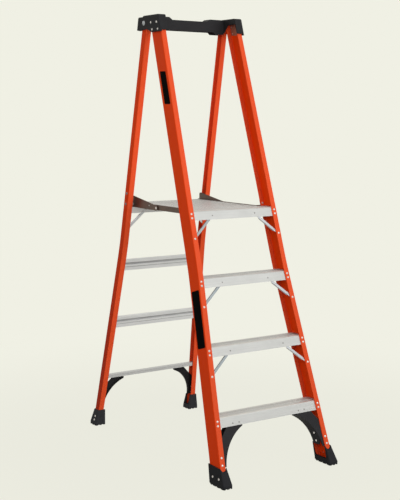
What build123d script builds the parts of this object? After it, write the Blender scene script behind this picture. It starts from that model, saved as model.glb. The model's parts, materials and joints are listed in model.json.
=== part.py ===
from build123d import *
import os
from math import asin, cos, hypot, radians, sin, tan

os.makedirs("parts", exist_ok=True)

# A folding platform ladder. Millimetres and degrees; +X to the right, +Y to the rear, +Z up.
# The origin is on the floor, under the middle of the box that holds the open ladder.

# Stance
FRONT_LEAN = 17.7          # front frame, from the vertical
REAR_LEAN = 11.0           # rear frame, from the vertical
PIVOT_HEIGHT = 1996.0      # rear frame's pivot bolts
PIVOT_BACK = 126.4         # pivot bolts behind the front rails' front face
BEND_RADIUS = 2400.0       # gentle bend where the rails start to flare
FOLD_STOP = 0.2            # degrees left between the frames when the folded ladder's boots meet

# Front rails: pultruded channels, open to the middle; half widths are to the outer faces
FRONT_HALF_FLOOR = 310.3
FRONT_HALF_BEND = 249.4
FRONT_HALF_TOP = 226.1     # at the pivot bolts' height
FRONT_BEND = 896.0         # height of the bend
FRONT_FLANGE = 26.0
FRONT_DEPTH = 79.4
# Rear rails
REAR_HALF_FLOOR = 300.5
REAR_HALF_BEND = 243.4
REAR_TOP_OUTSET = 3.1      # past the front rails' outer faces, at the pivot bolts' height
REAR_BEND = 926.0
REAR_FLANGE = 28.0
REAR_DEPTH = 36.0
RAIL_WALL = 4.0
RAIL_CORNER = 3.0
REAR_RAIL_END = 14.0       # rear rail above its pivot

# Treads
FIRST_TREAD = 278.5        # top of the first step
STEP_RISE = 290.4          # 12 in along the leaning rail
STEP_COUNT = 4             # the last one is the fixed front of the platform
STEP_WALL = 2.2
FASCIA = 40.5
REAR_LEG = 32.0
RIB_HEIGHT = 1.2
RIB_WIDTH = 3.0
RIB_PITCH = 9.0
RIB_MARGIN = 5.0
NOSE_WIDTH = 9.0           # smooth lip along a step's front edge
NOSE_ROUND = 8.0
STEP_END_GAP = 0.5
STEP_RIVET_DROP = 20.0     # rivet pair below the tread
STEP_RIVET_GAP = 18.0      # between the two rivets of a pair
FLANGE_RIVET_INSET = 13.0  # rivets on a flange, from the rail's outer face

# Braces under the steps, the platform and the rest bar
BRACE_REACH = 126.0        # upper rivet, from the rail's outer face
BRACE_FASCIA_DROP = 23.0   # upper rivet, below the tread
BRACE_DROP = 118.0         # lower rivet, below the tread
BRACE_WIDTH = 11.0
BRACE_PLATE = 1.8
BRACE_LIP = 8.0
BRACE_TAB = 14.0           # flat end past the lower rivet
BRACE_JOG = 10.0           # length over which the plate steps back
BRACE_TOP_TAB = 32.0       # flat end before the upper rivet
REAR_BRACE_REACH = 110.0
REAR_BRACE_FALL = 87.0
REAR_BRACE_INSET = 22.0

# Gussets in the bottom corners
GUSSET_WALL = 4.0
GUSSET_GAP = 0.5           # above the boots
GUSSET_FOOT = 36.0         # lower end, from the rail's outer face
FRONT_GUSSET_REACH = 143.0
FRONT_GUSSET_BOW = 25.0
FRONT_GUSSET_TIP = 5.0
REAR_GUSSET_REACH = 131.0
REAR_GUSSET_BOW = 29.0
REAR_GUSSET_TIP = 16.0
FRONT_GUSSET_DEPTHS = (64.0, 36.0)   # rear face behind the rails' front face, at the foot and at the top
REAR_GUSSET_THICK = 12.0   # lies against the rear flange
GUSSET_TAB_RISE = 19.0     # tab that rises behind the fascia
GUSSET_TAB_MARGIN = 9.0
GUSSET_TAB_RIVET = 11.5    # tab rivets above the fascia's lower edge
GUSSET_TAB_INSETS = (95.0, 128.5)
GUSSET_RIVET_RISES = (10.0, 40.5)   # above the gussets' lower ends
GUSSET_GAP_RISE = 31.0     # three-cornered gap in the bowed wall, beside the front flange
GUSSET_GAP_DEPTH = 27.0
GUSSET_BOSS = 7.0
GUSSET_SEAT = 6.2          # flat round the head of a boss's rivet
GUSSET_BOSSES = ((19.5, 38.0, 40.5), (60.5, 22.0, 55.0))   # rise, depth, reach from the rail's outer face
FRONT_CORNER_IN = 60.0     # corner cut off at the rail, along the top
FRONT_CORNER_FALL = 71.0   # and down the rail
REAR_CORNER_IN = 75.0
REAR_CORNER_FALL = 76.0

# Boots
BOOT_WALL = 4.5
BOOT_HEIGHT = 80.0
SOLE = 14.0                # rails end on the soles
SOLE_CORNER = 8.0
SOLE_RIM = 25.0            # top of the sole's inner edge, beside the rail
FRONT_SOLE_FLARE = 8.5     # sole past the rail's outer face
FRONT_SOLE_INSIDE = 40.0   # inner edge of the sole, from the rail's outer face
FRONT_TOE = 20.0           # sole ahead of the rail
FRONT_HEEL = 10.0          # sole behind the rail
REAR_SOLE_FLARE = 12.5
REAR_SOLE_INSIDE = 45.5
REAR_TOE = 14.0
REAR_HEEL = 11.0
REAR_BOOT_INSIDE = 8.0     # top of the boot past the flange's inner edge
HEEL_CUT = 18.0            # front soles slope up to the rear over this length
HEEL_RISE = 11.0
BOOT_EDGE = 4.0
NOTCH_DEPTH = 14.0         # round notch in the front boots' top edge
NOTCH_SPARE = 2.0          # notch past the flange, on either side
GROOVE_RADIUS = 6.0        # round grooves that scallop the sole
GROOVE_DEPTH = 3.2
GROOVE_PITCH_ACROSS = 20.0
GROOVE_PITCH_ALONG = 29.0
FRONT_BOOT_RIVET_DEPTHS = (10.0, 54.0)
FRONT_BOOT_RIVET_HEIGHT = 36.0
REAR_BOOT_RIVET_HEIGHTS = (28.0, 47.0)
REAR_BOOT_RIVET_DEPTH = 12.0

# Yoke: the moulded top that wraps round three sides; heights are above or below the pivot bolts
YOKE_TOP = 34.0
YOKE_LOBE = 29.0           # top of the rear lobe
YOKE_SKIRT = 7.0           # lower edge of the inner wall, above the pivot
YOKE_FRONT_LOW = 37.0      # front cover's lower edge, below the pivot
YOKE_LOW = 44.0            # lowest edge, between front and rear rails
YOKE_ARCH = 30.0           # raised lower edge over the rear rail
YOKE_HEEL_LOW = 35.0
YOKE_WALL = 4.0
YOKE_SIDE = 5.1            # outer wall beside the rear rail
YOKE_FRONT = 8.0           # front face ahead of the front rail
YOKE_TAIL = 38.5           # rear face behind the rear rail
YOKE_NOSE = 8.0
YOKE_ROUND = 5.0           # along the top of the outer face
SKIRT_SLOPE = 35.0         # length over which the inner wall's edge drops to the hand bar
LOBE_BACK = 5.0            # step down to the lobe, behind the pivot
LOBE_SLOPE = 8.0
ARCH_FRONT = 31.0          # raised edge, ahead of the pivot
ARCH_SLOPE = 33.0
ARCH_BACK = 16.0
HEEL_BACK = 30.5
CHEEK_GAP = 0.6            # inner wall to the rails' flanges
POCKET_GAP = 0.6           # outer wall to the rear rail
POCKET_FRONT = 50.0        # room ahead of the pivot for the rear rail's swing
BAR_FACE = 33.5            # hand bar's front face, ahead of the pivot
BAR_DEPTH = 52.0
BAR_TOP = 32.0
BAR_LOW = 37.0
BAR_SLIM_LOW = 27.0
BAR_SLIM_TOP = 20.0
BAR_TOP_HALF = 98.0        # slim middle, at its top edge
BAR_TOP_SLOPE = 17.0
BAR_LOW_HALF = 136.0       # slim middle, at its lower edge
BAR_LOW_SLOPE = 11.0
YOKE_RIVET_DEPTHS = (14.0, 61.0)
YOKE_RIVET_FALLS = (33.0, 1.0)
BACK_PLATE = 2.0
BACK_PLATE_LOW = 42.0
BACK_PLATE_GAP = 3.0

# Rear cross bars
CROSS_BAR_TOPS = (264.0, 570.5, 865.0)
CROSS_BAR_HEIGHTS = (17.0, 55.0, 55.0)
CROSS_BAR_WALL = 2.5
WIDE_GROOVE_DROP = 15.5
WIDE_GROOVE_TALL = 11.0
WIDE_GROOVE_IN = 7.0
FINE_GROOVE_DROP = 36.5
FINE_GROOVE_TALL = 3.0
FINE_GROOVE_IN = 2.0
CROSS_RIVET_DROP = 14.0    # rivets from a tall bar's edges
REST_BAR_TALL = 30.0

# Deck
DECK_SEAM = 2.0            # between the fixed front and the deck
DECK_TAIL = 1.0            # deck's rear edge, short of the rear rails' rear face
PLANK_COUNT = 4
PLANK_GAP = 1.0
PLANK_WALL = 2.2
PLANK_BOSS = 9.0           # square screw boss under the skin
PLANK_BOSS_EDGE = 30.0
SIDE_BAR_THICK = 3.0
SIDE_BAR_TALL = 25.0
SIDE_BAR_PROUD = 3.5       # above the tread
SIDE_BAR_SHELF = 16.0
SIDE_BAR_ROUND = 9.0
SIDE_GAP = 0.2             # plank end to side bar
HEAD_GAP = 1.0             # round the pivot pins' heads
DECK_PIVOT_BACK = 14.7     # deck pivot behind the front rail's rear face
DECK_PIVOT_DROP = 11.5     # deck pivot below the tread
EAR_GAP = 0.4
EAR_THICK = 3.0
EAR_RADIUS = 12.0
BRACKET_RISE = 36.0
BRACKET_FALL = 40.0
BRACKET_EDGE = 4.0         # bracket's plate short of the rail's outer face
BRACKET_RIVETS = (-30.0, 25.0)   # from the pivot's height; clear of the step's rear leg

# Arms that tie the deck to the rear frame
ARM_PIVOT_DROP = 5.7       # arms' pins below the tread
ARM_THICK = 3.0
ARM_GAP = 1.8              # side bar to arm
ARM_SIDE_GAP = 12.5        # arm to the rear rail's flange
ARM_FRONT_RADIUS = 12.0
ARM_RISE = 34.3            # rear end's top above the tread
ARM_TAIL = 10.0            # arm behind its pivot
ARM_CROWN = 16.0
ARM_ROUND = 9.5
ARM_CLEAR = 1.0            # arm above the rest bar
ARM_RIVET_BACK = 62.0      # small rivet behind the middle pivot
DOUBLER_THICK = 3.0
DOUBLER_FALL = 18.7        # below the tread
DOUBLER_RISE = 64.3        # above the tread
DOUBLER_SIDE_GAP = 1.0
WEB_BOLT_RISE = 46.3       # above the tread
TUBE_WALL = 3.0

# Fasteners
RIVET_HEAD = 5.2
RIVET_DOME = 2.6
RIVET_SHANK = 2.6
RIVET_TAIL = 3.8
RIVET_TAIL_TALL = 1.6
SMALL_HEAD = 3.4
SMALL_DOME = 1.3
SMALL_SHANK = 1.8
SMALL_TAIL = 2.8
SCREW_GRIP = 16.0
FLUSH_DOME = 0.5
BLIND_SKIN = 1.2           # left in the flange ahead of a blind rivet
PIN_HEAD = 6.5
PIN_DOME = 2.8
PIN_SHANK = 5.0
PIN_BUTTON = 1.2           # thin inner head of the arm pins
BOLT_HEAD = 11.0
BOLT_DOME = 4.5
BOLT_SHANK = 6.0
BOLT_NUT = 9.5
BOLT_NUT_TALL = 6.0
HOLE_GAP = 0.05            # radial clearance round shanks
TOUCH_GAP = 0.2            # between faces that move on each other
SKEW_GAP = 0.15            # under a head that sits square to X on a slightly leaning web

FAR = 3000.0               # larger than the ladder
SIDES = {"left": -1, "right": 1}
REAR_THICK = REAR_DEPTH / cos(radians(REAR_LEAN))
LEAN_SPREAD = PIVOT_HEIGHT * (tan(radians(FRONT_LEAN)) + tan(radians(REAR_LEAN)))
BASE_SPREAD = LEAN_SPREAD + PIVOT_BACK - REAR_THICK / 2   # between the frames' front faces, on the floor
FRONT_Y = -(BASE_SPREAD + REAR_THICK + REAR_HEEL - FRONT_TOE) / 2
REAR_Y = FRONT_Y + BASE_SPREAD


def level(bottom, top):
    """Everything between two heights."""
    return Pos(0, 0, (bottom + top) / 2) * Box(FAR, FAR, top - bottom)


def block(low, high):
    """Box between two corners."""
    size = [abs(b - a) for a, b in zip(low, high)]
    middle = [(a + b) / 2 for a, b in zip(low, high)]
    return Pos(*middle) * Box(*size)


def outline(points):
    return make_face(Polyline(*points, close=True)).face()


def side_prism(face, start, end):
    """Face drawn in Y and Z, drawn out along X."""
    return Pos(start, 0, 0) * extrude(Plane.YZ * face, amount=end - start, dir=(1, 0, 0))


def depth_prism(face, near, far):
    """Face drawn in a ladder frame's own plane, drawn out from one depth to another."""
    return Pos(0, 0, -near) * extrude(face, amount=far - near, dir=(0, 0, -1))


class LadderFrame:
    """A pair of rails in one leaning plane: x across, s up the slope, depth to the rear."""

    def __init__(self, start, lean, halves, bend, flange, depth):
        tilt = radians(lean)
        self.start, self.rise, self.slope = start, tan(tilt), cos(tilt)
        self.plane = Plane(origin=(0, start, 0), x_dir=(1, 0, 0), z_dir=(0, -cos(tilt), sin(tilt)))
        self.floor_half, self.bend_half, self.top_half = halves
        self.bend, self.flange, self.depth = bend, flange, depth

    def fall(self, height):
        """How fast the rails draw in with height."""
        if height < self.bend:
            return (self.floor_half - self.bend_half) / self.bend
        return (self.bend_half - self.top_half) / (PIVOT_HEIGHT - self.bend)

    def half(self, height, depth=0.0):
        """Outer face's distance from the middle at a height and a depth."""
        station = self.up(height, depth) * self.slope
        return self.bend_half + (self.bend - station) * self.fall(station)

    def y(self, height, depth):
        """Y of a point at a height, that deep behind the rails' front face."""
        return self.start + height * self.rise + depth / self.slope

    def up(self, height, depth=0.0):
        """Way up the slope to a point at a height and a depth."""
        return height / self.slope + depth * self.rise

    def place(self, shape):
        return self.plane.location * shape

    def band(self, outer, inner):
        """Face between two lines that follow the rails, given as functions of height."""
        heights = (-RAIL_WALL - self.flange, self.bend, PIVOT_HEIGHT + YOKE_TOP + self.depth)
        one = [(outer(z), self.up(z)) for z in heights]
        other = [(inner(z), self.up(z)) for z in reversed(heights)]
        face = outline(one + other)
        return face.fillet_2d(BEND_RADIUS, face.vertices().sort_by(Axis.Y)[2:4])

    def strip(self, side, outer_inset, inner_inset):
        return self.band(lambda z: side * (self.half(z) - outer_inset),
                         lambda z: side * (self.half(z) - inner_inset))

    def envelope(self, side):
        """The rail's outer shape, not hollowed, with its long outer corners rounded."""
        solid = depth_prism(self.strip(side, 0, self.flange), 0, self.depth)

        def is_corner(edge):
            spot = edge.center()
            off = abs(spot.X) - self.half(spot.Y * self.slope)
            return edge.length > 1.5 * max(self.flange, self.depth) and abs(off) < RAIL_CORNER

        return fillet([edge for edge in solid.edges() if is_corner(edge)], RAIL_CORNER)

    def rail(self, side, bottom, top):
        inside = self.strip(side, RAIL_WALL, 2 * self.flange)
        hollow = depth_prism(inside, RAIL_WALL, self.depth - RAIL_WALL)
        return self.place(self.envelope(side) - hollow) & level(bottom, top)

    def between(self, inset):
        """All the room between lines that run inside the rails' outer faces."""
        face = self.band(lambda z: self.half(z) - inset, lambda z: inset - self.half(z))
        return self.place(depth_prism(face, -2 * self.depth, 4 * self.depth))

    def web_plane(self, side, height, depth):
        """Plane on the web's outer face, looking outwards."""
        normal = Vector(side, 0, 0) + self.plane.y_dir * (self.fall(height) * self.slope)
        spot = (side * self.half(height, depth), self.y(height, depth), height)
        return Plane(origin=spot, z_dir=normal)

    def flange_plane(self, x, height, depth=0.0, rear=False):
        """Plane parallel to the flanges, looking to the front or to the rear."""
        facing = self.plane.z_dir * (-1 if rear else 1)
        return Plane(origin=(x, self.y(height, depth), height), z_dir=facing)


front = LadderFrame(FRONT_Y, FRONT_LEAN, (FRONT_HALF_FLOOR, FRONT_HALF_BEND, FRONT_HALF_TOP),
                    FRONT_BEND, FRONT_FLANGE, FRONT_DEPTH)
rear = LadderFrame(REAR_Y, -REAR_LEAN, (REAR_HALF_FLOOR, REAR_HALF_BEND, FRONT_HALF_TOP + REAR_TOP_OUTSET),
                   REAR_BEND, REAR_FLANGE, REAR_DEPTH)

# Places that several pieces share
treads = [FIRST_TREAD + STEP_RISE * index for index in range(STEP_COUNT)]
deck_top = treads[-1]
deck_under = deck_top + SIDE_BAR_PROUD - SIDE_BAR_TALL
deck_start = front.y(deck_top, FRONT_DEPTH - RAIL_WALL) + DECK_SEAM
deck_end = rear.y(deck_top, REAR_DEPTH - DECK_TAIL)
rest_top = deck_under - TOUCH_GAP
pivot_y = rear.y(PIVOT_HEIGHT, REAR_DEPTH / 2)
deck_pivot_z = deck_top - DECK_PIVOT_DROP
deck_pivot_y = front.y(deck_pivot_z, FRONT_DEPTH + DECK_PIVOT_BACK)
arm_pivot_z = deck_top - ARM_PIVOT_DROP
arm_pivot_y = rear.y(arm_pivot_z, REAR_DEPTH / 2)
arm_outer = rear.half(arm_pivot_z) - REAR_FLANGE - ARM_SIDE_GAP
arm_inner = arm_outer - ARM_THICK
bar_outer = arm_inner - ARM_GAP
bar_inner = bar_outer - SIDE_BAR_THICK
deck_half = bar_inner - SIDE_GAP
ear_inner = bar_outer + EAR_GAP
ear_outer = ear_inner + EAR_THICK
gusset_low = BOOT_HEIGHT + GUSSET_GAP
yoke_top = PIVOT_HEIGHT + YOKE_TOP
lobe_top = PIVOT_HEIGHT + YOKE_LOBE
yoke_half = rear.half(PIVOT_HEIGHT - YOKE_LOW, REAR_DEPTH) + POCKET_GAP + YOKE_SIDE
bar_face = pivot_y - BAR_FACE
cheek_outer = min(rear.half(PIVOT_HEIGHT) - REAR_FLANGE,
                  front.half(yoke_top, FRONT_DEPTH) - FRONT_FLANGE) - CHEEK_GAP
cheek_inner = cheek_outer - YOKE_WALL


def middle_pivot():
    """Y of the pivot between side bar and arm: the linkage closes both open and folded flat."""
    fold = radians(FRONT_LEAN + REAR_LEAN - FOLD_STOP)
    lift = radians(90 - FRONT_LEAN)
    back, down = arm_pivot_y - pivot_y, arm_pivot_z - PIVOT_HEIGHT
    folded_y = pivot_y + back * cos(fold) + down * sin(fold)
    folded_z = PIVOT_HEIGHT - back * sin(fold) + down * cos(fold)
    open_y, open_z = deck_pivot_y - arm_pivot_y, deck_pivot_z - arm_pivot_z
    flat_y, flat_z = deck_pivot_y - folded_y, deck_pivot_z - folded_z
    gain = flat_y ** 2 + flat_z ** 2 - open_y ** 2 - open_z ** 2
    return deck_pivot_y + gain / (2 * (open_y - flat_y * cos(lift) - flat_z * sin(lift)))


middle_y = middle_pivot()


# Fasteners

def fastener(head, dome, shank, grip, tail=0.0, tail_tall=0.0):
    """Domed head above z = 0, shank down through the grip, and a flat tail or nut under it."""
    ball = (head ** 2 + dome ** 2) / (2 * dome)
    turn = asin(min(1.0, head / ball)) / 2
    crown = ThreePointArc((0, dome), (ball * sin(turn), dome - ball + ball * cos(turn)), (head, 0))
    corners = [(head, 0), (shank, 0), (shank, -grip)]
    if tail:
        corners += [(tail, -grip), (tail, -grip - tail_tall)]
    face = make_face(crown + Polyline(*corners, (0, -grip - tail_tall), (0, dome)))
    return revolve(Plane.XZ * face, Axis.Z)


def rivet(grip):
    return fastener(RIVET_HEAD, RIVET_DOME, RIVET_SHANK, grip, RIVET_TAIL, RIVET_TAIL_TALL)


def small_rivet(grip):
    return fastener(SMALL_HEAD, SMALL_DOME, SMALL_SHANK, grip, SMALL_TAIL, RIVET_TAIL_TALL)


class Fasteners:
    """Like fasteners that share a node, with the holes that they need."""

    def __init__(self):
        self.solids, self.holes = [], []

    def add(self, plane, solid, shank, grip, blind=False):
        reach = RIVET_HEAD + grip + (0 if blind else RIVET_HEAD)
        drill = Pos(0, 0, RIVET_HEAD - reach / 2) * Cylinder(shank + HOLE_GAP, reach)
        self.solids.append(plane.location * solid)
        self.holes.append(plane.location * drill)

    def node(self):
        return Compound([solid for item in self.solids for solid in item.solids()])


front_rivets = Fasteners()
fascia_rivets = Fasteners()
boot_rivets = Fasteners()
yoke_rivets = Fasteners()
bracket_rivets = Fasteners()
deck_pivot_pins = Fasteners()
rear_pivot_bolts = Fasteners()
rear_rivets = Fasteners()
rear_boot_rivets = Fasteners()
web_bolts = Fasteners()
arm_pivot_pins = Fasteners()
deck_screws = Fasteners()
deck_pivot_studs = Fasteners()
arm_rivets = Fasteners()
nodes = {}


def drilled(shape, *groups):
    """Shape with the holes of the fasteners that pass through it."""
    room = shape.bounding_box()
    tools = [tool for group in groups for tool in group.holes if room.overlaps(tool.bounding_box())]
    return shape - tools if tools else shape


# Front frame: steps, braces, gussets and boots

def ribbed_top(start, end, top):
    """Points along a tread's top, with low ribs that run from side to side."""
    count = int((end - start - 2 * RIB_MARGIN - RIB_WIDTH) // RIB_PITCH) + 1
    first = (start + end - (count - 1) * RIB_PITCH - RIB_WIDTH) / 2
    points = [(start, top)]
    for index in range(count):
        left = first + index * RIB_PITCH
        right = left + RIB_WIDTH
        points += [(left, top), (left, top + RIB_HEIGHT), (right, top + RIB_HEIGHT), (right, top)]
    return points + [(end, top)]


def step(tread):
    """Extruded tread: ribbed top, tall fascia riveted behind the front flanges, shorter rear leg."""
    near, far = RAIL_WALL, FRONT_DEPTH - RAIL_WALL
    low, back, under = tread - FASCIA, tread - REAR_LEG, tread - STEP_WALL
    nose, crest = front.y(tread, near), tread + RIB_HEIGHT
    points = [(front.y(low, near), low), (front.y(crest, near), crest), (nose + NOSE_WIDTH, crest)]
    points += ribbed_top(nose + NOSE_WIDTH, front.y(tread, far), tread)
    points += [(front.y(back, far), back), (front.y(back, far - STEP_WALL), back)]
    points += [(front.y(under, far - STEP_WALL), under), (front.y(under, near + STEP_WALL), under)]
    points += [(front.y(low, near + STEP_WALL), low)]
    face = outline(points)
    for height, radius in ((crest, NOSE_ROUND), (under, NOSE_ROUND - STEP_WALL)):
        corners = face.vertices().filter_by_position(Axis.Y, height - TOUCH_GAP, height + TOUCH_GAP)
        face = face.fillet_2d(radius, corners.sort_by(Axis.X)[:1])
    solid = side_prism(face, -FRONT_HALF_FLOOR, FRONT_HALF_FLOOR)
    return solid & front.between(RAIL_WALL + STEP_END_GAP)


def brace(frame, low, high, jog):
    """Folded channel between two rivets; its plate steps back by the jog above the lower one."""
    ends = [Vector(x, frame.up(z, RAIL_WALL), -RAIL_WALL) for x, z in (low, high)]
    along = ends[1] - ends[0]
    length, round_end = along.length, BRACE_WIDTH / 2
    step_back = BRACE_TAB + BRACE_JOG
    face_line = [(-round_end, 0), (BRACE_TAB, 0), (step_back, jog), (length + round_end, jog)]
    back_line = [(u, w + BRACE_PLATE) for u, w in reversed(face_line)]
    plate = extrude(Plane.XZ * outline(face_line + back_line), amount=round_end, both=True)
    slot = Pos(length / 2, 0, 0) * SlotCenterToCenter(length, BRACE_WIDTH)
    plate = plate & extrude(slot, amount=jog + BRACE_PLATE, dir=(0, 0, 1))
    for edge in (-1, 1):
        plate += block((step_back, edge * round_end, jog),
                       (length - BRACE_TOP_TAB, edge * (round_end - BRACE_PLATE), jog + BRACE_LIP))
    return frame.place(Plane(origin=ends[0], x_dir=along, z_dir=(0, 0, -1)).location * plate)


def gusset(frame, side, top, arc, near, room_near, depths):
    """Moulded corner: a bowed wall and a rear wall, with room inside that starts at its own depth."""
    reach, bow, tip = arc
    top_line, low_line = frame.up(top, near), frame.up(gusset_low, near)
    beyond = frame.half(0)
    foot = Vector(side * (frame.half(gusset_low) - GUSSET_FOOT), low_line)
    point = Vector(side * (frame.half(top) - reach), top_line - tip)
    chord = point - foot
    out = Vector(side * abs(chord.Y), abs(chord.X)) / chord.length
    spare = frame.depth

    def bowed(shift):
        start, end = foot + out * shift, point + out * shift
        curve = ThreePointArc(start, (start + end) / 2 + out * bow, end)
        rim = Polyline(end, (end.X, top_line + spare), (side * beyond, top_line + spare),
                       (side * beyond, low_line - spare), (start.X, low_line - spare), start)
        return make_face(curve + rim).face()

    def behind(inset):
        """All that lies behind the rear face, or that far inside it."""
        face = [(frame.y(z, depth - inset), z) for z, depth in zip((gusset_low, top), depths)]
        rest = [(frame.y(z, 2 * frame.depth), z) for z in (top, gusset_low)]
        return side_prism(outline(face + rest), -beyond, beyond)

    solid = frame.place(depth_prism(bowed(0), near, frame.depth)) - behind(0)
    solid -= frame.place(depth_prism(bowed(GUSSET_WALL), room_near, frame.depth)) - behind(GUSSET_WALL)
    return solid & level(gusset_low, top) & frame.between(RAIL_WALL + STEP_END_GAP)


def corner_wedge(frame, side, top, near, reach, fall):
    """What a gusset that starts at a depth loses at its corner by the rail, through all its depth."""
    half, high = frame.half(top), frame.up(top, near)
    start, end = Vector(half - reach, high), Vector(half, high - fall)
    spare = (end - start) / 2
    start, end = start - spare, end + spare
    points = [(side * x, way) for x, way in ((start.X, start.Y), (end.X, end.Y), (end.X, start.Y))]
    return frame.place(depth_prism(outline(points), 0, frame.depth))


def front_gusset(side):
    """Closed in front, with a cut corner, a gap beside the flange and bosses for the web's rivets."""
    top, inside = treads[0] - FASCIA, RAIL_WALL + GUSSET_WALL
    arc = (FRONT_GUSSET_REACH, FRONT_GUSSET_BOW, FRONT_GUSSET_TIP)
    shape = gusset(front, side, top, arc, RAIL_WALL, inside, FRONT_GUSSET_DEPTHS)
    shape -= corner_wedge(front, side, top, RAIL_WALL, FRONT_CORNER_IN, FRONT_CORNER_FALL)
    half, high = front.half(top), front.up(top, RAIL_WALL)
    gap_top = gusset_low + GUSSET_GAP_RISE
    gap = outline([(front.y(gusset_low, inside), gusset_low), (front.y(gap_top, inside), gap_top),
                   (front.y(gusset_low, GUSSET_GAP_DEPTH), gusset_low)])
    shape -= side_prism(gap, -half - FRONT_FLANGE, half + FRONT_FLANGE)
    for rise, depth, reach in GUSSET_BOSSES:
        length = reach - RAIL_WALL - STEP_END_GAP
        boss = Pos(0, 0, length / 2 - reach) * Cylinder(GUSSET_BOSS, length)
        seat = Pos(0, 0, -length / 2 - reach) * Cylinder(GUSSET_SEAT, length)
        web = front.web_plane(side, gusset_low + rise, depth).location
        shape = shape + web * boss - web * seat
    behind = RAIL_WALL + STEP_WALL
    inner, outer = [half - inset for inset in
                    (max(GUSSET_TAB_INSETS) + GUSSET_TAB_MARGIN, min(GUSSET_TAB_INSETS) - GUSSET_TAB_MARGIN)]
    tab = block((side * inner, high - GUSSET_WALL, -behind),
                (side * outer, high + GUSSET_TAB_RISE, -behind - GUSSET_WALL))
    return shape + front.place(tab)


def rear_gusset(side):
    """Open in front, with a cut corner; its walls lie against the rear flange and the web."""
    top, far = CROSS_BAR_TOPS[0] - CROSS_BAR_HEIGHTS[0], REAR_DEPTH - RAIL_WALL
    near, web = far - REAR_GUSSET_THICK, RAIL_WALL + STEP_END_GAP
    arc = (REAR_GUSSET_REACH, REAR_GUSSET_BOW, REAR_GUSSET_TIP)
    shape = gusset(rear, side, top, arc, near, 0, (far, far))
    wall = depth_prism(rear.strip(side, web, web + GUSSET_WALL), web, far)
    shape += rear.place(wall) & level(gusset_low, top)
    return shape - corner_wedge(rear, side, top, near, REAR_CORNER_IN, REAR_CORNER_FALL)


class Boot:
    """Moulded boot: tapers from the rail to a wide scalloped sole, and is open to the middle."""

    def __init__(self, frame, side, toe, heel, inside, flare, margin):
        self.frame, self.side = frame, side
        self.low_out = frame.half(0) + flare
        self.low_in = frame.half(0) - inside
        self.low_y = (frame.y(0, 0) - toe, frame.y(0, frame.depth) + heel)
        self.top_out = frame.half(BOOT_HEIGHT) + BOOT_WALL
        self.top_in = frame.half(BOOT_HEIGHT) - frame.flange - margin
        self.top_y = (frame.y(BOOT_HEIGHT, -BOOT_WALL), frame.y(BOOT_HEIGHT, frame.depth + BOOT_WALL))

    def rectangle(self, inner, outer, ys, height, corner):
        corners = [(self.side * x, y) for x, y in
                   ((inner, ys[0]), (outer, ys[0]), (outer, ys[1]), (inner, ys[1]))]
        face = outline(corners)
        return Pos(0, 0, height) * face.fillet_2d(corner, face.vertices())

    def solid(self):
        frame, side = self.frame, self.side
        base = self.rectangle(self.low_in, self.low_out, self.low_y, SOLE, SOLE_CORNER)
        top = self.rectangle(self.top_in, self.top_out, self.top_y, BOOT_HEIGHT, BOOT_EDGE)
        shape = loft([base, top]) + extrude(base, amount=SOLE, dir=(0, 0, -1))
        shape -= frame.place(frame.envelope(side)) & level(SOLE, 2 * BOOT_HEIGHT)
        beside = depth_prism(frame.strip(side, frame.flange, 4 * frame.flange), 0, frame.depth)
        shape -= frame.place(beside) & level(SOLE_RIM, 2 * BOOT_HEIGHT)
        return shape - self.grooves()

    def notch(self):
        """Round notch in the front wall's top edge, over the flange's middle."""
        frame = self.frame
        radius = frame.flange / 2 + NOTCH_SPARE
        spot = (self.side * (frame.half(BOOT_HEIGHT) - frame.flange / 2), frame.y(BOOT_HEIGHT, 0),
                BOOT_HEIGHT + radius - NOTCH_DEPTH)
        return Plane(origin=spot, z_dir=(0, 1, 0)).location * Cylinder(radius, frame.depth)

    def grooves(self):
        cuts = []
        for start, end, pitch, across in ((self.low_in, self.low_out, GROOVE_PITCH_ACROSS, True),
                                          (*self.low_y, GROOVE_PITCH_ALONG, False)):
            count = int((end - start) // pitch)
            first = (start + end - (count - 1) * pitch) / 2
            for index in range(count):
                spot = first + index * pitch
                place = Plane(origin=(self.side * spot, 0, GROOVE_DEPTH - GROOVE_RADIUS), z_dir=(0, 1, 0))
                if not across:
                    place = Plane(origin=(0, spot, GROOVE_DEPTH - GROOVE_RADIUS), z_dir=(1, 0, 0))
                cuts.append(place.location * Cylinder(GROOVE_RADIUS, FAR))
        return cuts

    def heel_room(self):
        """Room under the sloping rear end of a sole."""
        back = self.low_y[1]
        return side_prism(outline([(back - HEEL_CUT, 0), (back, HEEL_RISE), (back, 0)]), -FAR, FAR)

    def rivet_place(self, height, depth):
        """Plane on the outer face, and the grip from there through the rail's web."""
        share = (height - SOLE) / (BOOT_HEIGHT - SOLE)
        x = self.low_out + (self.top_out - self.low_out) * share
        rise, run = BOOT_HEIGHT - SOLE, self.low_out - self.top_out
        grip = (x - self.frame.half(height, depth) + RAIL_WALL) * hypot(rise, run) / rise
        plane = Plane(origin=(self.side * x, self.frame.y(height, depth), height),
                      z_dir=(self.side * rise, 0, run))
        return plane, grip


def add_step_rivets(side):
    grip = RAIL_WALL + STEP_WALL
    for tread in treads:
        for shift in (-STEP_RIVET_GAP / 2, STEP_RIVET_GAP / 2):
            z = tread - STEP_RIVET_DROP + shift
            place = front.flange_plane(side * (front.half(z) - FLANGE_RIVET_INSET), z)
            front_rivets.add(place, rivet(grip), RIVET_SHANK, grip)


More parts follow.
